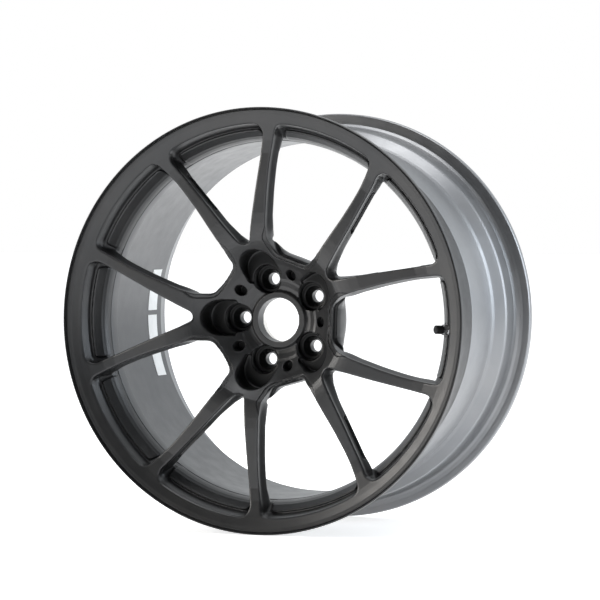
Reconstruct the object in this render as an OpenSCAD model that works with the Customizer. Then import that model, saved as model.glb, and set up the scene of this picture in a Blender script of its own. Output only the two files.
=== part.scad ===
// Forged ten-spoke racing wheel rim with its hub ring, valve and inner labels.
// The spin axis is Y, the street face looks along -Y and +Z is up. The origin is on the
// axis, midway between the two flange edges. Every piece is drawn with the street face
// up, along its own +Z, and face_street() turns it into the wheel's frame.

/* [Rim] */
// Width between the outer edges of the two flanges
rim_w = 273.6; // [266:0.2:282]
// Radius of the flange edge
flange_r = 248.5; // [247:0.1:249]
// Radius of the bead seat beside each flange
bead_r = 231; // [230.5:0.1:231.5]
// Outer radius of the drop centre
well_r = 216.5; // [216:0.1:217]
// Inner radius of the barrel
barrel_r = 212.2; // [211.5:0.1:213]
// Height of the joint between the forged disc and the barrel
joint_z = 83; // [80:1:85]
// Outer radius of the disc's skirt, which laps over the barrel
skirt_r = 218.5; // [217.5:0.1:219.5]
// Height of the skirt's end
skirt_z = 6; // [4:1:20]

/* [Face] */
// Height of the spokes' front face above the wheel's middle plane
spoke_z = 120.5; // [118:0.5:122]
// Height of the spokes' rear face
spoke_back_z = 95; // [90:1:100]
// Radius of the round end of a narrow window
notch_r = 9; // [7:0.5:10]
// Corner radius of the windows beside the rim
corner_r = 13; // [9:0.5:14]
// Turn of the spoke pattern about the axis
clock = -2.16; // [-36:0.01:36]

/* [Hub] */
// Height of the face that bolts to the car
mount_z = 38; // [33:1:43]
// Radius of the circle of lug holes
lug_pcr = 50; // [49:0.5:51]
// Radius of a lug hole
lug_r = 7; // [6:0.25:7.5]
// Radius of the well that a lug nut sits in
lug_well_r = 16.7; // [15:0.1:17]
// Radius of the car hub's spigot bore
bore_r = 28.05; // [27:0.05:30]
// Outer radius of the hub ring
ring_r = 32.5; // [31:0.5:33]

/* [Valve] */
// Radius of the valve hole
valve_hole_r = 5.65; // [5:0.05:6]
// Tilt of the valve from the wheel's radius towards the street face
valve_tilt = 47; // [45:1:49]
// Radius of the threaded stem
stem_r = 4; // [3.5:0.1:4.2]

/* [Hidden] */
$fn = 96;
sectors = 5;
sector = 360 / sectors;
wide_axis = clock;
lug_axis = clock + sector / 2;
half_w = rim_w / 2;
eps = 0.1;

gunmetal = [0.23, 0.24, 0.25];
barrel_grey = [0.55, 0.56, 0.58];
steel = [0.72, 0.73, 0.74];
brass = [0.76, 0.62, 0.30];
rubber = [0.07, 0.07, 0.07];
paper = [0.93, 0.93, 0.92];

// The lap joint between the disc's skirt and the barrel
lap_r = 215.2;
lap_gap = 0.15;

// The hub's rings and faces
pad_z = 75;
pad_r = 49;
floor_z = 73;
dish_r = 66;
dish_z = 88.5;
brow_r = 94;
brow_z = 114.5;
lip_z = 72;
lip_r = 26;
collar_r = 34.4;
hub_edge_r = 76.5;
ring_h = 12;
seat_r = 12;
seat_z = 50;
well_floor_z = 60;
pocket_r = 21;
pocket_u = 64;
dimple_r = 6;
dimple_u = 56;
dimple_floor_z = 66;
relief_r = 10;
relief_u = 52;
relief_h = 9;

// Labels on the barrel's inner wall
label_t = 0.3;
label_gap = 0.03;
label_w = 26;
label_z = -58;

// The valve, measured along its own axis from the spotface on the inner wall
valve_u = 218.75;
valve_z = 105.25;
spot_r = 7.9;
spot_depth = 2.2;
grip = 6;
outer_spot_r = 9.5;
outer_spot_h = 14;
washer_h = 1.2;
nut_h = 4;
nut_r = 7;
stem_top = 12.6;
flange_h = 2.4;
core_r = 2.6;
core_depth = 9;
seal_room = 3.2;
air_r = 1.6;
guide_r = 1.1;
core_bore_r = 1.9;
core_top_h = 3;
core_end_h = 0.6;
pin_r = 0.8;
pin_collar_r = 1.5;
pin_collar_top = 3.8;
pin_collar_h = 0.8;
core_seal_r = 2.3;
spring_r = 1.5;
cap_r = 5;
cap_gap = 0.15;
core_base = stem_top - core_depth;
spring_h = core_depth - pin_collar_top - pin_collar_h - core_end_h;
core_bore_h = core_depth - 0.4 - core_top_h - core_end_h;
thread_r = 3.6;
cap_wall_top = 14.8;
cap_bottom = 7;
cap_seal_h = 0.9;
cap_seal_gap = 0.05;

// A point on a circle
function polar(r, a) = [r * cos(a), r * sin(a)];

// The unit vector from p to q
function toward(p, q) = (q - p) / norm(q - p);

// The corner b of the path a-b-c, rounded to radius r with n steps
function round_corner(a, b, c, r, n) =
    let (u = toward(b, a), v = toward(b, c))
    let (half = acos(max(-1, min(1, u * v))) / 2)
    let (mid = toward([0, 0], (u + v) / 2), centre = b + mid * r / sin(half))
    let (start = b + u * r / tan(half) - centre, stop = b + v * r / tan(half) - centre)
    let (a0 = atan2(start[1], start[0]), turn = atan2(stop[1], stop[0]) - a0)
    let (swing = turn > 180 ? turn - 360 : (turn < -180 ? turn + 360 : turn))
    r <= 0 ? [b] : [for (i = [0:n]) centre + polar(r, a0 + swing * i / n)];

// A closed outline whose corner i is rounded to radii[i]
function round_outline(pts, radii, n = 6) =
    let (k = len(pts))
    [for (i = [0:k - 1])
        each round_corner(pts[(i + k - 1) % k], pts[i], pts[(i + 1) % k], radii[i], n)];

// The outline above the U axis, and its mirror image below it
function mirrored(pts) = concat(pts, [for (i = [len(pts) - 1:-1:0]) [pts[i][0], -pts[i][1]]]);

// The list, and then the same list backwards
function there_and_back(a) = concat(a, [for (i = [len(a) - 1:-1:0]) a[i]]);

// The rim side of a window: points on an arc of radius r, from angle a down to zero
function rim_arc(r, a, n = 5) = [for (i = [1:n]) polar(r, a * (1 - i / (n + 0.5)))];

// A narrow window, between the two spokes of a pair: its axis is a lug axis
window_r = 231;
notch_u = 81.4;
narrow_half = concat([[147, 29.9], [197, 53.7], [221, 66]], rim_arc(window_r, 14.2));
narrow_radii = [0, 0, corner_r, 0, 0, 0, 0, 0];
narrow_outline = round_outline(concat([[notch_u, 0]], mirrored(narrow_half)),
    concat([notch_r], there_and_back(narrow_radii)));

// A wide window, between two pairs
wide_half = concat([[hub_edge_r, 20.5], [90.5, 31.8], [115, 40], [146, 49.3], [177, 57],
    [201, 60.6], [222, 63]], rim_arc(window_r, 13.4));
wide_radii = [10, 14, 0, 0, 0, 0, corner_r, 0, 0, 0, 0, 0];
wide_outline = round_outline(mirrored(wide_half), there_and_back(wide_radii));

// The forged disc's section through a spoke: front face, then rear face
spoke_section = [
    [lip_r, lip_z], [collar_r - 2, lip_z], [collar_r, lip_z - 2], [collar_r + 1, 69],
    [40, 70], [46, 74], [pad_r, pad_z], [dish_r, dish_z], [brow_r, brow_z],
    [102, 117.5], [114, 119.5], [126, spoke_z], [196, spoke_z], [210, 122.5], [226, 126.6],
    [231, 127.4], [231, 108], [222, 98.5], [213, 90], [205, 92], [196, spoke_back_z],
    [124, spoke_back_z], [108, 92], [96, 84], [86, 68], [80, 52], [75, 41], [72, mount_z],
    [ring_r, mount_z], [ring_r, mount_z + ring_h], [lip_r, mount_z + ring_h + 3]];

// The rim's front section: street side from the joint to the lip, then the tyre side down
// to the end of the skirt that laps over the barrel
front_section = [
    [211.5, joint_z], [211.5, 85.7], [213.5, 96.8], [215.2, 100.7], [222.2, 110.2],
    [224, 110], [225, 108.8], [226.2, 110.2], [227.6, 116], [229.2, 122.5], [230.4, 126.4],
    [231.5, 127.6], [240.5, 131.4], [245.6, 132.5], [246.4, 131.4], [247, 133.6],
    [247.6, half_w], [flange_r - 0.3, half_w], [flange_r, half_w - 0.4], [flange_r, 129.6],
    [flange_r - 1, 127.4], [240, 127], [236, 126], [233, 123.4], [bead_r, 118],
    [229.9, 106], [230.4, 104.6], [229.6, 102.6], [220.6, 93], [skirt_r, 88.8],
    [skirt_r, skirt_z + 0.5], [skirt_r - 0.5, skirt_z], [lap_r + lap_gap, skirt_z],
    [lap_r + lap_gap, joint_z]];

// The barrel's section: inner side from the joint to the rear lip, then the tyre side
rear_section = [
    [210.6, joint_z], [210.6, 64.5], [barrel_r, 62.2], [barrel_r, -71], [213.4, -75],
    [219.6, -84.5], [220.8, -88], [222.4, -94], [225.2, -108], [226.2, -116], [229.5, -124],
    [234, -130], [239, -133.6], [244, -135.4], [247, -half_w], [flange_r - 0.4, -half_w],
    [flange_r, 0.4 - half_w], [flange_r, -129.6], [flange_r - 1, -127.4], [240, -127],
    [236, -126], [233, -123.4], [bead_r, -118], [229.4, -98], [230, -95.6], [228.8, -91.4],
    [225, -86.4], [219.4, -79], [217.2, -75], [well_r, -70], [well_r, skirt_z],
    [lap_r, skirt_z], [lap_r, joint_z]];

// Turns a piece drawn with the street face up into the wheel's frame
module face_street() {
    rotate([90, 0, 0]) children();
}

// One copy in each sector, with the first at the angle given
module each_sector(first) {
    for (i = [0:sectors - 1]) rotate([0, 0, first + i * sector]) children();
}

// Into the valve's own frame: its origin in the wall's face, +Z out towards the cap
module at_valve() {
    rotate([0, 0, wide_axis]) translate([valve_u, 0, valve_z]) rotate([0, -valve_tilt, 0])
        translate([0, 0, -spot_depth]) children();
}

// A ring about the Z axis
module ring(outer, inner, z, h) {
    difference() {
        translate([0, 0, z]) cylinder(r = outer, h = h);
        translate([0, 0, z - eps]) cylinder(r = inner, h = h + 2 * eps);
    }
}

module windows() {
    each_sector(lug_axis) translate([0, 0, 40]) linear_extrude(height = 100)
        polygon(narrow_outline);
    each_sector(wide_axis) translate([0, 0, 40]) linear_extrude(height = 100)
        polygon(wide_outline);
}

// The stepped hole of one lug: nut well, conical seat, through hole
module lug_hole() {
    translate([lug_pcr, 0, 0]) {
        translate([0, 0, mount_z - 1]) cylinder(r = lug_r, h = 40);
        translate([0, 0, seat_z]) cylinder(r1 = lug_r, r2 = seat_r, h = well_floor_z - seat_z);
        translate([0, 0, well_floor_z]) cylinder(r = lug_well_r, h = 60);
    }
}

// The deep U-shaped pocket outside one lug well
module lug_pocket() {
    translate([0, 0, floor_z]) {
        translate([pocket_u, 0, 0]) cylinder(r = pocket_r, h = 60);
        translate([lug_pcr, -pocket_r, 0]) cube([pocket_u - lug_pcr, 2 * pocket_r, 60]);
    }
}

module valve_hole() {
    at_valve() {
        translate([0, 0, -40]) cylinder(r = valve_hole_r, h = 60);
        cylinder(r = spot_r, h = 20);
        translate([0, 0, -grip - outer_spot_h]) cylinder(r = outer_spot_r, h = outer_spot_h);
    }
}

module forged_disc() {
    color(gunmetal) face_street() difference() {
        union() {
            rotate_extrude($fn = 180) polygon(front_section);
            difference() {
                rotate_extrude($fn = 180) polygon(spoke_section);
                windows();
            }
        }
        each_sector(lug_axis) lug_hole();
        each_sector(lug_axis) lug_pocket();
        each_sector(wide_axis) translate([dimple_u, 0, dimple_floor_z])
            cylinder(r = dimple_r, h = 40);
        each_sector(wide_axis) translate([relief_u, 0, mount_z - 1])
            cylinder(r = relief_r, h = relief_h + 1);
        valve_hole();
    }
}

module rim_barrel() {
    color(barrel_grey) face_street() rotate_extrude($fn = 180) polygon(rear_section);
}

module hub_ring() {
    color(steel) face_street() ring(ring_r, bore_r, mount_z, ring_h);
}

// A label on the barrel's inner wall, from angle a0 to a1
module barrel_label(a0, a1) {
    color(paper) face_street() rotate([0, 0, a0]) rotate_extrude(angle = a1 - a0, $fn = 360)
        translate([barrel_r - label_t - label_gap, label_z]) square([label_t, label_w]);
}

module long_label() {
    barrel_label(179.8, 200.3);
}

module short_label() {
    barrel_label(164.5, 178.2);
}

// The stem, with its flange on the tyre side of the wall
module valve_stem() {
    color(rubber) face_street() at_valve() difference() {
        union() {
            translate([0, 0, -grip - 2 - flange_h]) cylinder(r = 7.5, h = flange_h);
            translate([0, 0, -grip - 2]) cylinder(r = stem_r, h = grip + 2 + 6.6);
            translate([0, 0, 6.6]) cylinder(r = thread_r, h = stem_top - 6.6);
        }
        translate([0, 0, stem_top - core_depth - seal_room])
            cylinder(r = core_r, h = core_depth + seal_room + 1);
        translate([0, 0, -30]) cylinder(r = air_r, h = 50);
    }
}

// The rubber seal: a disc under the stem's flange and a sleeve in the hole
module valve_grommet() {
    color(rubber) face_street() at_valve() {
        ring(8.2, stem_r, -grip - 2, 2);
        ring(valve_hole_r, stem_r, -grip, grip - 0.4);
    }
}

module valve_washer() {
    color(steel) face_street() at_valve() ring(7.4, stem_r, 0, washer_h);
}

module valve_nut() {
    color(steel) face_street() at_valve() translate([0, 0, washer_h]) difference() {
        cylinder(r = nut_r, h = nut_h, $fn = 6);
        translate([0, 0, -eps]) cylinder(r = stem_r, h = nut_h + 1);
    }
}

// The screwed-in core body that guides the pin
module valve_core() {
    color(brass) face_street() at_valve() {
        ring(core_r, guide_r, stem_top - 0.4 - core_top_h, core_top_h);
        ring(core_r, core_bore_r, core_base + core_end_h, core_bore_h);
        ring(core_r, guide_r, core_base, core_end_h);
    }
}

// The small seal that the pin holds against the core body's lower end
module core_seal() {
    color(rubber) face_street() at_valve() ring(core_seal_r, pin_r, core_base - 1.25, 1.2);
}

// The pin, with a collar that the spring pushes up
module core_pin() {
    color(brass) face_street() at_valve() {
        translate([0, 0, core_base - 2]) cylinder(r = pin_r, h = core_depth + 1.8);
        translate([0, 0, stem_top - pin_collar_top - pin_collar_h])
            cylinder(r = pin_collar_r, h = pin_collar_h);
    }
}

module core_spring() {
    color(steel) face_street() at_valve()
        ring(spring_r, guide_r, core_base + core_end_h, spring_h);
}

// The soft disc inside the cap, which seals on the stem's end
module cap_seal() {
    color(rubber) face_street() at_valve() translate([0, 0, stem_top])
        ring(thread_r - 0.2, 1.4, 0, cap_seal_h);
}

module valve_cap() {
    color(gunmetal) face_street() at_valve() difference() {
        union() {
            translate([0, 0, cap_bottom]) cylinder(r = cap_r, h = cap_wall_top - cap_bottom);
            translate([0, 0, cap_wall_top]) cylinder(r1 = cap_r, r2 = cap_r - 1, h = 1);
        }
        translate([0, 0, cap_bottom - eps])
            cylinder(r = thread_r + cap_gap,
                h = stem_top + cap_seal_h + cap_seal_gap + eps - cap_bottom);
    }
}

forged_disc();
rim_barrel();
hub_ring();
long_label();
short_label();
valve_stem();
valve_grommet();
valve_washer();
valve_nut();
valve_core();
core_seal();
core_pin();
core_spring();
cap_seal();
valve_cap();
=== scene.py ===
"""Looks for the forged ten-spoke racing wheel rim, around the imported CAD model."""

import math

import bpy
import numpy as np
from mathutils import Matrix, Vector


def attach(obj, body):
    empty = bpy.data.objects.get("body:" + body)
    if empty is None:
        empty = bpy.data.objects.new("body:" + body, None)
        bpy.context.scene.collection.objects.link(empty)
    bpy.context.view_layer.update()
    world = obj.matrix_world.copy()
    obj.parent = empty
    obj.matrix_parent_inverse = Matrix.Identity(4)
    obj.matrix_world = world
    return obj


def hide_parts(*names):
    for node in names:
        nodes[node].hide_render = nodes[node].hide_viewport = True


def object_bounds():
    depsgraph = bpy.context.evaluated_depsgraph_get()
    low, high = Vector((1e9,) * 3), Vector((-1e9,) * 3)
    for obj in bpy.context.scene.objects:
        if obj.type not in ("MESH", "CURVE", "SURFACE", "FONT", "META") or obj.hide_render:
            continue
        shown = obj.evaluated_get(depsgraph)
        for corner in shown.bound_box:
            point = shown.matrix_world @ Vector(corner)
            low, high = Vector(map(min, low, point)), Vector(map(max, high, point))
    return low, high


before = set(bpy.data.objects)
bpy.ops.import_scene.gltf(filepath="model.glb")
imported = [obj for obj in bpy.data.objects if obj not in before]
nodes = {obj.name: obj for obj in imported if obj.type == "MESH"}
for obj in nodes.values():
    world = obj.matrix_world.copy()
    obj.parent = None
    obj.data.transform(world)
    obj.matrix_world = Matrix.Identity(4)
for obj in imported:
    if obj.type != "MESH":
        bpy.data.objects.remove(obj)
cad_lo, cad_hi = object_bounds()
MM = 0.001

# ---------------------------------------------------------------------------
# Shape numbers, in millimetres, with the street face up along local Z.
# Local X is the wheel's X, local Y its Z, and local Z points out of the street face.
# ---------------------------------------------------------------------------
CLOCK = -2.16          # angle of the first wide window's axis
SECTOR = 72.0
STEP = 1.2             # grid of the disc's distance field
BAND_END = 243.6       # the lathed flange takes over beyond this radius
JOINT_Z = 83.0

SPOKE = [
    (26, 72), (32.4, 72), (34.4, 70), (35.4, 69), (40, 70), (46, 74), (49, 75),
    (66, 88.5), (90, 110.8), (94, 114.2), (98, 116.3), (102, 117.5), (108, 118.6),
    (114, 119.4), (126, 120.3), (160, 120.6), (196, 120.6), (210, 122.3), (226, 126.2),
    (231.5, 127.6), (240.5, 131.4), (245.6, 132.5), (245.6, 122), (231, 112), (222, 100),
    (213, 91),
    (205, 92), (196, 95), (124, 95), (108, 92), (96, 84), (86, 68), (80, 52),
    (75, 41), (72, 38), (32.5, 38), (32.5, 50), (26, 53)]

CHANNEL = [
    (211.5, 80), (211.5, 85.2), (212.6, 90.5), (214.6, 95.4), (217.4, 99), (221.4, 103.9),
    (223.8, 107.2), (225.2, 108.6), (226.4, 110.4), (227.7, 116), (229.2, 122.5), (230.4, 125.6),
    (232, 126.4), (245.6, 126.4), (245.6, 80)]

ISLAND = [
    (211.2, 80), (212, 88), (213.4, 94.5), (215.6, 100), (221.6, 109.4), (223.2, 109.9),
    (224.4, 108.9), (226, 100), (226, 80)]

FLANGE = [
    (215.35, 83), (215.35, 6), (218, 6), (218.5, 6.5), (218.5, 88.8), (220.6, 93),
    (229.6, 102.6), (230.4, 104.6), (229.9, 106), (231, 118), (233, 123.4), (236, 126),
    (240, 127), (247.5, 127.4), (248.5, 129.6), (248.5, 136), (248, 136.8), (247.5, 136.7),
    (246.9, 133.8), (246.5, 131.6), (246.1, 131.4), (245.4, 132.45), (242.2, 131.77),
    (242, 130)]

BARREL = [
    (215.2, 83), (210.6, 83), (210.6, 64.5), (212.2, 62.2), (212.2, -71), (213.4, -75),
    (219.6, -84.5), (220.8, -88), (222.4, -94), (225.2, -108), (226.2, -116), (229.5, -124),
    (234, -130), (239, -133.6), (244, -135.4), (247, -136.8), (248.1, -136.8), (248.5, -136.4),
    (248.5, -129.6), (247.5, -127.4), (240, -127), (236, -126), (233, -123.4), (231, -118),
    (229.4, -98), (230, -95.6), (228.8, -91.4), (225, -86.4), (219.4, -79), (217.2, -75),
    (216.5, -70), (216.5, 5.8), (215.2, 5.8)]

# The hub's cuts: place along their axis, radius and floor height, as in the CAD
MOUNT_Z = 38
LUG_U, LUG_R, SEAT_Z, SEAT_SPREAD = 50, 7, 50, 6
WELL_R, WELL_FLOOR = 16.7, 60
POCKET_END, POCKET_R, POCKET_FLOOR = 64, 21, 73
DIMPLE_U, DIMPLE_R, DIMPLE_FLOOR = 56, 6, 66
RELIEF_U, RELIEF_R, RELIEF_TOP = 52, 10, 47
# The milled slots in the spokes' walls: radial span, height, radius and depth
SLOT_IN, SLOT_OUT, SLOT_Z, SLOT_R, SLOT_DEPTH = 150, 194, 104, 5, 2.2

# Valve: the hole's place and tilt, as in the CAD
VALVE_U, VALVE_Z, VALVE_TILT, SPOT_DEPTH = 218.75, 105.25, 47.0, 2.2


def round_outline(pts, radii, n=5):
    """The closed outline with corner i rounded to radii[i]."""
    out = []
    for i, (b, r) in enumerate(zip(pts, radii)):
        a, c = np.array(pts[i - 1], float), np.array(pts[(i + 1) % len(pts)], float)
        b = np.array(b, float)
        if r <= 0:
            out.append(b)
            continue
        u, v = (a - b) / np.linalg.norm(a - b), (c - b) / np.linalg.norm(c - b)
        half = math.acos(max(-1.0, min(1.0, float(u @ v)))) / 2
        mid = (u + v) / np.linalg.norm(u + v)
        centre = b + mid * r / math.sin(half)
        s, e = b + u * r / math.tan(half) - centre, b + v * r / math.tan(half) - centre
        a0 = math.atan2(s[1], s[0])
        turn = (math.atan2(e[1], e[0]) - a0 + math.pi) % (2 * math.pi) - math.pi
        for k in range(n + 1):
            t = a0 + turn * k / n
            out.append(centre + r * np.array([math.cos(t), math.sin(t)]))
    return np.array(out)


def mirrored(half, radii):
    """The half outline above the U axis and its mirror image, rounded."""
    full = list(half) + [(u, -v) for u, v in reversed(half)]
    return round_outline(full, list(radii) + list(reversed(radii)))


def rim_arc(r, a, n=6):
    return [(r * math.cos(math.radians(a * (1 - i / (n + 0.5)))),
             r * math.sin(math.radians(a * (1 - i / (n + 0.5))))) for i in range(1, n + 1)]


NARROW = mirrored([(93, 5.29), (147, 29.9), (197, 53.7), (221, 66)] + rim_arc(231, 14.2),
                  [8.1, 400, 500, 13] + [0] * 6)
WIDE = mirrored([(76.3, 20.5), (90.5, 31.8), (115, 40), (146, 49.3), (177, 57), (201, 60.6),
                 (222, 63)] + rim_arc(231, 13.4), [10, 16, 150, 300, 300, 250, 12] + [0] * 6)


def signed(px, py, pts):
    """Signed distance to a closed outline, negative inside."""
    best = np.full(px.shape, 1e9, np.float32)
    inside = np.zeros(px.shape, bool)
    for (ax, ay), (bx, by) in zip(pts, np.roll(pts, -1, axis=0)):
        ex, ey = bx - ax, by - ay
        wx, wy = px - ax, py - ay
        t = np.clip((wx * ex + wy * ey) / max(ex * ex + ey * ey, 1e-9), 0, 1)
        best = np.minimum(best, (wx - ex * t) ** 2 + (wy - ey * t) ** 2)
        if ay != by:
            inside ^= ((ay <= py) != (by <= py)) & (px < ax + wy * ex / ey)
    return np.where(inside, -1, 1) * np.sqrt(best)


def smax(a, b, k):
    h = np.maximum(k - np.abs(a - b), 0) / k
    return np.maximum(a, b) + h * h * k / 4


def smin(a, b, k):
    return -smax(-a, -b, k)


def ramp(x, x0, x1):
    """0 below x0, 1 above x1, smooth between."""
    t = np.clip((x - x0) / (x1 - x0), 0, 1)
    return t * t * (3 - 2 * t)


def plan(x, y):
    """The fields that don't depend on height, folded into one half sector."""
    r = np.hypot(x, y)
    t = np.degrees(np.arctan2(y, x)) - CLOCK
    a = np.abs((t + SECTOR / 2) % SECTOR - SECTOR / 2)
    wide_a, lug_a = np.radians(a), np.radians(SECTOR / 2 - a)
    uw, vw = r * np.cos(wide_a), r * np.sin(wide_a)
    ul, vl = r * np.cos(lug_a), r * np.sin(lug_a)
    return {
        "x": x, "y": y, "r": r, "ul": ul, "uw": uw,
        "wide": signed(uw, vw, WIDE), "narrow": signed(ul, vl, NARROW),
        "lug": np.hypot(ul - LUG_U, vl), "dimple": np.hypot(uw - DIMPLE_U, vw),
        "relief": np.hypot(uw - RELIEF_U, vw),
        "pocket": smax(np.hypot(ul - np.clip(ul, LUG_U, POCKET_END), vl) - POCKET_R,
                       LUG_U - ul, 4),
    }


def valve_cut(x, y, z):
    """The valve hole and its two spotfaces."""
    c, s = math.cos(math.radians(CLOCK)), math.sin(math.radians(CLOCK))
    u, v, w = x * c + y * s - VALVE_U, -x * s + y * c, z - VALVE_Z
    ct, st = math.cos(math.radians(VALVE_TILT)), math.sin(math.radians(VALVE_TILT))
    h = -u * st + w * ct + SPOT_DEPTH
    q = np.hypot(v, u * ct + w * st)
    hole = smax(q - 5.65, np.abs(h) - 30, 0.5)
    street = smax(q - 7.9, np.maximum(-h, h - 20), 0.5)
    tyre = smax(q - 9.5, np.maximum(h + 6, -20 - h), 0.5)
    return np.minimum(np.minimum(hole, street), tyre)


def shape(p, z, spoke, channel, island):
    """The disc's distance field, from the plan fields and the three section fields."""
    front = ramp(z, 98, 110)
    edge = 7.0 - 4.6 * front
    # spoke sides: a shallow hollow below the front edge, then a flare towards the back
    hollow = np.exp(-((z - 113.5) / 4.0) ** 2)
    flare = ramp(-z, -111, -97)
    mouth = np.clip((128 - p["ul"]) / 32, 0, 1)
    narrow = p["narrow"] - 0.7 * hollow * (1 - mouth) + flare * 1.3
    narrow = narrow + mouth * np.clip((112 - z) * 0.16, 0, 3.4)
    wide = p["wide"] - 0.8 * hollow * ramp(p["r"], 96, 116) + 2.1 * flare * ramp(p["r"], 90, 110)
    wide = wide + 1.4 * ramp(-z, -84, -68) * (1 - ramp(p["uw"], 92, 104))
    d = smax(spoke, -wide, edge)
    d = smax(d, -narrow, edge)
    # milled slots in the walls that face a narrow window
    slot = np.hypot(p["r"] - np.clip(p["r"], SLOT_IN, SLOT_OUT), z - SLOT_Z) - SLOT_R
    d = smax(d, -smax(slot, p["narrow"] - SLOT_DEPTH, 1.5), 1.0)
    # the hub's walls in the wide windows: a rebated front edge over a cove
    rebate = smax(p["wide"] - 5.2 + 6 * ramp(p["uw"], 86, 112), -1.7 - spoke, 0.8)
    rebate = smax(rebate, 80 - z, 1.0)
    cove = smax(p["wide"] - 3.2, np.hypot((z - 87) / 6.5, p["wide"] / 3.2) * 3.2 - 3.2, 1.0)
    cove = smax(cove, p["uw"] - 93, 3.0)
    d = smax(smax(d, -rebate, 0.6), -cove, 1.2)
    # lug pockets, wells and seats
    d = smax(d, -smax(p["pocket"], POCKET_FLOOR - z, 2.5), 1.8)
    well = smax(p["lug"] - WELL_R, WELL_FLOOR - z, 1.5)
    spread = np.clip((z - SEAT_Z) * 0.5, 0, SEAT_SPREAD)
    cone = smax(p["lug"] - LUG_R - spread, MOUNT_Z - 2 - z, 0.5)
    d = smax(smax(d, -well, 1.8), -cone, 0.8)
    d = smax(d, -smax(p["dimple"] - DIMPLE_R, DIMPLE_FLOOR - z, 1.0), 1.2)
    d = smax(d, -smax(p["relief"] - RELIEF_R, z - RELIEF_TOP, 1.5), 1.2)
    # the rim's channel and the raised island in each window
    windows = np.minimum(p["wide"], p["narrow"])
    isle = smax(island, windows + 6.2, 1.6)
    d = smin(d, smin(channel, isle, 1.4), 3.0)
    return smax(d, -valve_cut(p["x"], p["y"], z), 0.8)


def disc_field(x, y, z):
    p = plan(x, y)
    s = [signed(p["r"], z, np.array(sec, float)) for sec in (SPOKE, CHANNEL, ISLAND)]
    return shape(p, z, *s)


def disc_mesh():
    """Points, unit normals and quads of the disc's surface, in millimetres."""
    half = math.ceil(247 / STEP) * STEP
    xs = np.arange(-half, half + STEP / 2, STEP, dtype=np.float32)
    zs = np.arange(34.3, 135.5, STEP, dtype=np.float32)
    gx, gy = np.meshgrid(xs, xs, indexing="ij")
    p = plan(gx, gy)
    rs = np.arange(0, 360, 0.4, dtype=np.float32)
    secs = [np.array(sec, float) for sec in (SPOKE, CHANNEL, ISLAND)]
    d = np.empty(gx.shape + zs.shape, np.float32)
    for k, z in enumerate(zs):
        rows = [np.interp(p["r"], rs, signed(rs, np.full_like(rs, z), s)) for s in secs]
        d[:, :, k] = shape(p, float(z), *rows)
    inside = d < 0
    cells = [slice(0, -1), slice(1, None)]
    count = sum(inside[cells[i], cells[j], cells[k]].astype(np.int8)
                for i in (0, 1) for j in (0, 1) for k in (0, 1))
    cx, cy, cz = np.nonzero((count > 0) & (count < 8))
    index = np.full(count.shape, -1, np.int32)
    index[cx, cy, cz] = np.arange(len(cx))
    total, hits = np.zeros((len(cx), 3)), np.zeros(len(cx))
    for axis in range(3):
        for i in (0, 1):
            for j in (0, 1):
                o = np.insert([i, j], axis, 0)
                e = np.insert([i, j], axis, 1)
                a = d[cx + o[0], cy + o[1], cz + o[2]]
                b = d[cx + e[0], cy + e[1], cz + e[2]]
                cross = (a < 0) != (b < 0)
                t = np.where(cross, a / np.where(cross, a - b, 1), 0)
                step = o[None, :] + (e - o)[None, :] * t[:, None]
                total += step * cross[:, None]
                hits += cross
    base = np.stack([cx, cy, cz], 1) + total / hits[:, None]
    pts = base * STEP + np.array([xs[0], xs[0], zs[0]])
    quads = []
    for axis in range(3):
        lo = [slice(1, -1)] * 3
        hi = [slice(1, -1)] * 3
        lo[axis], hi[axis] = slice(0, -1), slice(1, None)
        a, b = inside[tuple(lo)], inside[tuple(hi)]
        e = np.stack(np.nonzero(a != b), 1)
        out = a[tuple(e.T)]
        for m in range(3):
            if m != axis:
                e[:, m] += 1
        m, n = [(1, 2), (2, 0), (0, 1)][axis]
        corner = []
        for i, j in ((-1, -1), (0, -1), (0, 0), (-1, 0)):
            c = e.copy()
            c[:, m] += i
            c[:, n] += j
            corner.append(index[tuple(c.T)])
        q = np.stack(corner, 1)
        q[~out] = q[~out][:, ::-1]
        quads.append(q)
    quads = np.concatenate(quads)
    grad = slope(pts)
    for _ in range(2):
        pts = pts - grad * np.clip(disc_field(*pts.T), -0.6, 0.6)[:, None]
    # how far each point lies down in a pocket or well, 0 to 1: the weight of the painted shade
    # there
    p = plan(*pts[:, :2].T)
    below = -signed(p["r"], pts[:, 2], np.array(SPOKE, float))
    recess_shade = ramp(below, 1.0, 9.0) * ramp(p["wide"], 4.0, 8.0) * ramp(-p["r"], -92, -84)
    return pts, slope(pts), quads, recess_shade * (pts[:, 2] > 38.5)


def slope(pts, h=0.3):
    """The field's unit gradient at some points, from four corners of a tetrahedron."""
    g = np.zeros(pts.shape)
    for way in ((1, 1, 1), (1, -1, -1), (-1, 1, -1), (-1, -1, 1)):
        way = np.array(way, float)
        g += way * disc_field(*(pts + h * way).T)[:, None]
    return g / np.maximum(np.linalg.norm(g, axis=1), 1e-6)[:, None]


# ---------------------------------------------------------------------------
# Blender helpers
# ---------------------------------------------------------------------------
def to_world(p):
    """Local millimetres to the frame's metres."""
    p = np.asarray(p, float)
    return np.stack([p[:, 0], -p[:, 2], p[:, 1]], 1) * MM


def add_mesh(name, verts, faces, normals=None, sharp=None):
    mesh = bpy.data.meshes.new(name)
    mesh.from_pydata(verts.tolist(), [], faces if isinstance(faces, list) else faces.tolist())
    mesh.validate()
    mesh.shade_smooth()
    if sharp:
        mesh.set_sharp_from_angle(angle=math.radians(sharp))
    if normals is not None:
        mesh.normals_split_custom_set_from_vertices(normals.tolist())
    obj = bpy.data.objects.new(name, mesh)
    bpy.context.scene.collection.objects.link(obj)
    return obj


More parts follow.
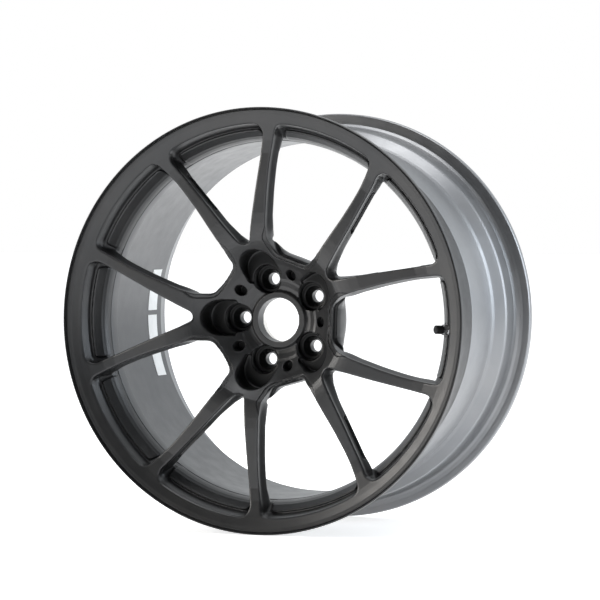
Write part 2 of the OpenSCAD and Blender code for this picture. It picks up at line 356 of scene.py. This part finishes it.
def soften(pts, radius, n=3):
    """A closed section with its corners rounded, no more than its edges allow."""
    radii = []
    for i, b in enumerate(pts):
        a, c = pts[i - 1], pts[(i + 1) % len(pts)]
        u, v = np.subtract(a, b), np.subtract(c, b)
        lu, lv = np.linalg.norm(u), np.linalg.norm(v)
        half = math.acos(max(-1, min(1, float(u @ v) / (lu * lv)))) / 2
        radii.append(min(radius, 0.45 * min(lu, lv) * math.tan(half)))
    return round_outline(pts, radii, n)


def lathe(name, section, steps=360):
    """A closed section turned about the wheel's axis."""
    k = len(section)
    a = np.radians(np.arange(steps) * 360 / steps)
    r, z = section[:, 0], section[:, 1]
    pts = np.stack([np.outer(np.cos(a), r), np.outer(np.sin(a), r),
                    np.broadcast_to(z, (steps, k))], 2).reshape(-1, 3)
    i, j = np.meshgrid(np.arange(steps), np.arange(k), indexing="ij")
    i2, j2 = (i + 1) % steps, (j + 1) % k
    f = np.stack([i * k + j, i2 * k + j, i2 * k + j2, i * k + j2], 2).reshape(-1, 4)
    area = np.sum(r * np.roll(z, -1) - np.roll(r, -1) * z)
    if area < 0:
        f = f[:, ::-1]
    return add_mesh(name, to_world(pts), f, sharp=40)


# ---------------------------------------------------------------------------
# Materials
# ---------------------------------------------------------------------------
class Paint:
    """Builds one procedural material."""

    def __init__(self, name, **sockets):
        self.mat = bpy.data.materials.new(name)
        self.mat.use_nodes = True
        self.tree = self.mat.node_tree
        self.shader = self.tree.nodes["Principled BSDF"]
        for key, value in sockets.items():
            self.shader.inputs[key.replace("_", " ")].default_value = value
        self.place = self.tree.nodes.new("ShaderNodeTexCoord").outputs["Object"]
        self.bump_from = None

    def noise(self, scale, detail=3.0, rough=0.55, stretch=None):
        n = self.tree.nodes.new("ShaderNodeTexNoise")
        n.inputs["Scale"].default_value = scale
        n.inputs["Detail"].default_value = detail
        n.inputs["Roughness"].default_value = rough
        source = self.place
        if stretch:
            m = self.tree.nodes.new("ShaderNodeMapping")
            m.inputs["Scale"].default_value = stretch
            self.tree.links.new(source, m.inputs["Vector"])
            source = m.outputs["Vector"]
        self.tree.links.new(source, n.inputs["Vector"])
        return n.outputs["Fac"]

    def mix(self, fac, lo, hi, a=0.35, b=0.65):
        """A colour that goes from lo to hi as fac goes from a to b."""
        c = self.tree.nodes.new("ShaderNodeValToRGB")
        c.color_ramp.elements[0].position, c.color_ramp.elements[1].position = a, b
        c.color_ramp.elements[0].color = (*lo, 1)
        c.color_ramp.elements[1].color = (*hi, 1)
        self.tree.links.new(fac, c.inputs["Fac"])
        return c.outputs["Color"]

    def tint(self, colour, factor):
        """The colour times the factor."""
        m = self.tree.nodes.new("ShaderNodeVectorMath")
        m.operation = "SCALE"
        self.tree.links.new(colour, m.inputs[0])
        self.tree.links.new(factor, m.inputs["Scale"])
        return m.outputs["Vector"]

    def span(self, fac, lo, hi, a=0.3, b=0.7):
        m = self.tree.nodes.new("ShaderNodeMapRange")
        m.inputs["From Min"].default_value, m.inputs["From Max"].default_value = a, b
        m.inputs["To Min"].default_value, m.inputs["To Max"].default_value = lo, hi
        self.tree.links.new(fac, m.inputs["Value"])
        return m.outputs["Result"]

    def to(self, socket, output):
        self.tree.links.new(output, self.shader.inputs[socket])
        return self

    def bump(self, height, strength, distance):
        b = self.tree.nodes.new("ShaderNodeBump")
        b.inputs["Strength"].default_value = strength
        b.inputs["Distance"].default_value = distance
        self.tree.links.new(height, b.inputs["Height"])
        if self.bump_from:
            self.tree.links.new(self.bump_from, b.inputs["Normal"])
        self.bump_from = b.outputs["Normal"]
        self.tree.links.new(self.bump_from, self.shader.inputs["Normal"])
        return self


def satin(name, lo, hi, rough, metallic, coat, shade):
    p = Paint(name, Metallic=metallic, Coat_Weight=coat, Coat_Roughness=0.28)
    p.to("Base Color", p.tint(p.mix(p.noise(9.0, 4.0), lo, hi), shade(p)))
    p.to("Roughness", p.span(p.noise(60.0), rough - 0.03, rough + 0.04))
    p.bump(p.noise(1400.0, 2.0), 0.06, 0.0002)
    p.bump(p.noise(240.0, 2.0), 0.05, 0.0004)
    return p.mat


def painted_recess_shade(p):
    """Painted shade: the base colour made darker down in the lug pockets and wells, where shade
    falls.
    """
    a = p.tree.nodes.new("ShaderNodeAttribute")
    a.attribute_name = "recess_shade"
    return p.span(a.outputs["Fac"], 1.0, 0.22, 0.0, 1.0)


def inner_wall_shade(p):
    """Painted shade: the barrel's inner wall, where less light reaches, made darker than its
    outside.
    """
    flat = p.tree.nodes.new("ShaderNodeVectorMath")
    flat.operation = "MULTIPLY"
    flat.inputs[1].default_value = (1, 0, 1)
    p.tree.links.new(p.place, flat.inputs[0])
    length = p.tree.nodes.new("ShaderNodeVectorMath")
    length.operation = "LENGTH"
    p.tree.links.new(flat.outputs["Vector"], length.inputs[0])
    return p.span(length.outputs["Value"], 0.4, 1.0, 0.2128, 0.2150)


# gunmetal and black get painted shade down in the pockets and wells
GUNMETAL = satin("satin_gunmetal", (0.040, 0.041, 0.043), (0.048, 0.048, 0.049), 0.38, 0.75, 0.05,
                 painted_recess_shade)
# grey gets painted shade on the barrel's inner wall
GREY = satin("satin_grey", (0.20, 0.205, 0.215), (0.23, 0.233, 0.24), 0.36, 0.75, 0.0, inner_wall_shade)
BLACK = satin("black_anodised", (0.016, 0.016, 0.017), (0.024, 0.024, 0.025), 0.4, 0.7, 0.0,
              painted_recess_shade)


def machined(name, lo, hi, rough, stretch):
    p = Paint(name, Metallic=1.0)
    grain = p.noise(900.0, 3.0, 0.6, stretch)
    p.to("Base Color", p.mix(p.noise(40.0), lo, hi))
    p.to("Roughness", p.span(grain, rough - 0.05, rough + 0.08))
    p.bump(grain, 0.12, 0.0001)
    return p.mat


ALUMINIUM = machined("bare_aluminium", (0.80, 0.78, 0.74), (0.88, 0.86, 0.82), 0.34, (1, 9, 1))
STEEL = machined("steel", (0.56, 0.56, 0.57), (0.64, 0.64, 0.65), 0.28, (1, 1, 1))
BRASS = machined("brass", (0.66, 0.47, 0.19), (0.76, 0.56, 0.25), 0.28, (1, 1, 1))


def rubber():
    p = Paint("black_rubber", Roughness=0.75)
    p.to("Base Color", p.mix(p.noise(120.0), (0.018, 0.018, 0.018), (0.030, 0.029, 0.028)))
    p.bump(p.noise(900.0), 0.2, 0.0002)
    return p.mat


def paper():
    p = Paint("label_paper", Roughness=0.55, Coat_Weight=0.3)
    p.to("Base Color", p.mix(p.noise(70.0), (0.80, 0.80, 0.79), (0.86, 0.86, 0.85)))
    p.bump(p.noise(500.0), 0.1, 0.0002)
    return p.mat


RUBBER, PAPER = rubber(), paper()


def wear(obj, mat):
    obj.data.materials.clear()
    obj.data.materials.append(mat)


# ---------------------------------------------------------------------------
# The disc, in three pieces of one surface, and the flange that closes it
# ---------------------------------------------------------------------------
points, normals, quads, recess_shade = disc_mesh()
centre = points[quads].mean(1)
cr, cz = np.hypot(centre[:, 0], centre[:, 1]), centre[:, 2]
tyre = np.array(FLANGE[4:14], float)
tyre_r = np.interp(cz, tyre[:, 1], tyre[:, 0])
keep = (cr < BAND_END) & ((cr < tyre_r - 0.5) | (cz > 123.4)) & (cz > 35)
keep &= ~((cz < JOINT_Z + 0.2) & (cr > 150))
normals = np.stack([normals[:, 0], -normals[:, 2], normals[:, 1]], 1)
parts = {"disc_hub": cr < 100, "disc_spokes": (cr >= 100) & (cr < 207), "disc_rim": cr >= 207}
made = []
for name, where in parts.items():
    f = quads[where & keep]
    used, f = np.unique(f, return_inverse=True)
    piece = add_mesh(name, to_world(points[used]), f.reshape(-1, 4), normals[used])
    # the pocket weights go on each piece, where the material darkens them as painted shade
    piece.data.attributes.new("recess_shade", "FLOAT", "POINT").data.foreach_set(
        "value", recess_shade[used].astype(np.float32))
    made.append(piece)
made.append(lathe("disc_flange", soften(FLANGE, 0.6)))
for piece in made:
    wear(piece, GUNMETAL)
    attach(piece, "wheel")
    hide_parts("forged_disc")

barrel = lathe("barrel", soften(BARREL, 1.2))
wear(barrel, GREY)
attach(barrel, "wheel")
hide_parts("rim_barrel")

# ---------------------------------------------------------------------------
# The smaller CAD nodes keep their shape and get a small bevel and a finish
# ---------------------------------------------------------------------------
FINISH = {
    "hub_ring": (ALUMINIUM, 0.5), "long_label": (PAPER, 0), "short_label": (PAPER, 0),
    "valve_stem": (BLACK, 0.25), "valve_grommet": (RUBBER, 0.3), "valve_washer": (STEEL, 0.2),
    "valve_nut": (STEEL, 0.35), "valve_core": (BRASS, 0), "core_seal": (RUBBER, 0),
    "core_pin": (BRASS, 0), "core_spring": (STEEL, 0), "cap_seal": (RUBBER, 0),
    "valve_cap": (BLACK, 0.35)}
for name, (mat, bevel) in FINISH.items():
    obj = nodes[name]
    wear(obj, mat)
    if bevel:
        m = obj.modifiers.new("edge", "BEVEL")
        m.width, m.segments, m.limit_method = bevel * MM, 2, "ANGLE"
        m.angle_limit = math.radians(35)
        m.harden_normals = False

# ---------------------------------------------------------------------------
# Stage, light and camera
# ---------------------------------------------------------------------------
floor_z = cad_lo.z
bpy.ops.mesh.primitive_plane_add(size=60, location=(0, 0, floor_z - 0.0002))
ground = bpy.context.object
ground.name = "floor"
g = Paint("floor_white", Roughness=0.8, Emission_Color=(1, 1, 1, 1), Emission_Strength=0.6)
g.to("Base Color", g.mix(g.noise(3.0), (0.90, 0.90, 0.90), (0.93, 0.93, 0.93)))
wear(ground, g.mat)

world = bpy.data.worlds.new("studio")
bpy.context.scene.world = world
world.use_nodes = True
# Lit softly from the sides and above and little from the front; plain white to the camera
wt = world.node_tree
axes = wt.nodes.new("ShaderNodeSeparateXYZ")
wt.links.new(wt.nodes.new("ShaderNodeTexCoord").outputs["Generated"], axes.inputs["Vector"])


def fall(lo, hi, at_lo, at_hi):
    """The world's strength against a ray's Y: at_lo below lo, at_hi above hi."""
    m = wt.nodes.new("ShaderNodeMapRange")
    m.interpolation_type = "SMOOTHSTEP"
    for key, value in (("From Min", lo), ("From Max", hi), ("To Min", at_lo), ("To Max", at_hi)):
        m.inputs[key].default_value = value
    wt.links.new(axes.outputs["Y"], m.inputs["Value"])
    return m.outputs["Result"]


both = wt.nodes.new("ShaderNodeMath")
both.operation = "MULTIPLY"
wt.links.new(fall(-0.6, 0.15, 0.05, 1.1), both.inputs[0])
wt.links.new(fall(0.2, 0.9, 0.9, 0.95), both.inputs[1])
wt.links.new(both.outputs[0], wt.nodes["Background"].inputs["Strength"])
wt.nodes["Background"].inputs["Color"].default_value = (0.95, 0.98, 1.0, 1)
plain = wt.nodes.new("ShaderNodeBackground")
plain.inputs["Color"].default_value = (1, 1, 1, 1)
choose = wt.nodes.new("ShaderNodeMixShader")
wt.links.new(wt.nodes.new("ShaderNodeLightPath").outputs["Is Camera Ray"], choose.inputs["Fac"])
wt.links.new(wt.nodes["Background"].outputs[0], choose.inputs[1])
wt.links.new(plain.outputs[0], choose.inputs[2])
wt.links.new(choose.outputs[0], wt.nodes["World Output"].inputs["Surface"])


def softbox(name, place, size, power, colour=(1, 1, 1), aim=(0, 0, 0)):
    lamp = bpy.data.lights.new(name, "AREA")
    lamp.shape, lamp.size, lamp.size_y = "RECTANGLE", size[0], size[1]
    lamp.energy, lamp.color = power, colour
    obj = bpy.data.objects.new(name, lamp)
    obj.location = place
    obj.rotation_euler = (Vector(aim) - Vector(place)).to_track_quat("-Z", "Y").to_euler()
    bpy.context.scene.collection.objects.link(obj)
    return obj


softbox("left", (-2.5, -1.7, 0.9), (1.4, 1.4), 65, (1.0, 0.96, 0.90))
softbox("top", (0.3, -0.2, 2.8), (2.4, 1.8), 60)
softbox("right", (2.6, 1.3, 0.8), (1.4, 1.8), 50, (0.84, 0.92, 1.0))

AZ, EL, DIST, TILT = math.radians(20.86), math.radians(1.69), 3.941, math.radians(0.316)
back = Vector((math.sin(AZ) * math.cos(EL), -math.cos(AZ) * math.cos(EL), math.sin(EL)))
up = Vector((-math.sin(AZ) * math.sin(EL), math.cos(AZ) * math.sin(EL), math.cos(EL)))
cam = bpy.data.objects.new("camera", bpy.data.cameras.new("camera"))
cam.location = back * DIST
look = up * DIST * math.tan(TILT) - back * DIST
cam.rotation_euler = look.to_track_quat("-Z", "Y").to_euler()
cam.data.sensor_width, cam.data.lens = 36.0, 197.3
cam.data.clip_start, cam.data.clip_end = 0.05, 100
bpy.context.scene.collection.objects.link(cam)
bpy.context.scene.camera = cam
bpy.context.scene.view_settings.view_transform = "Standard"
bpy.context.scene.view_settings.look = "None"
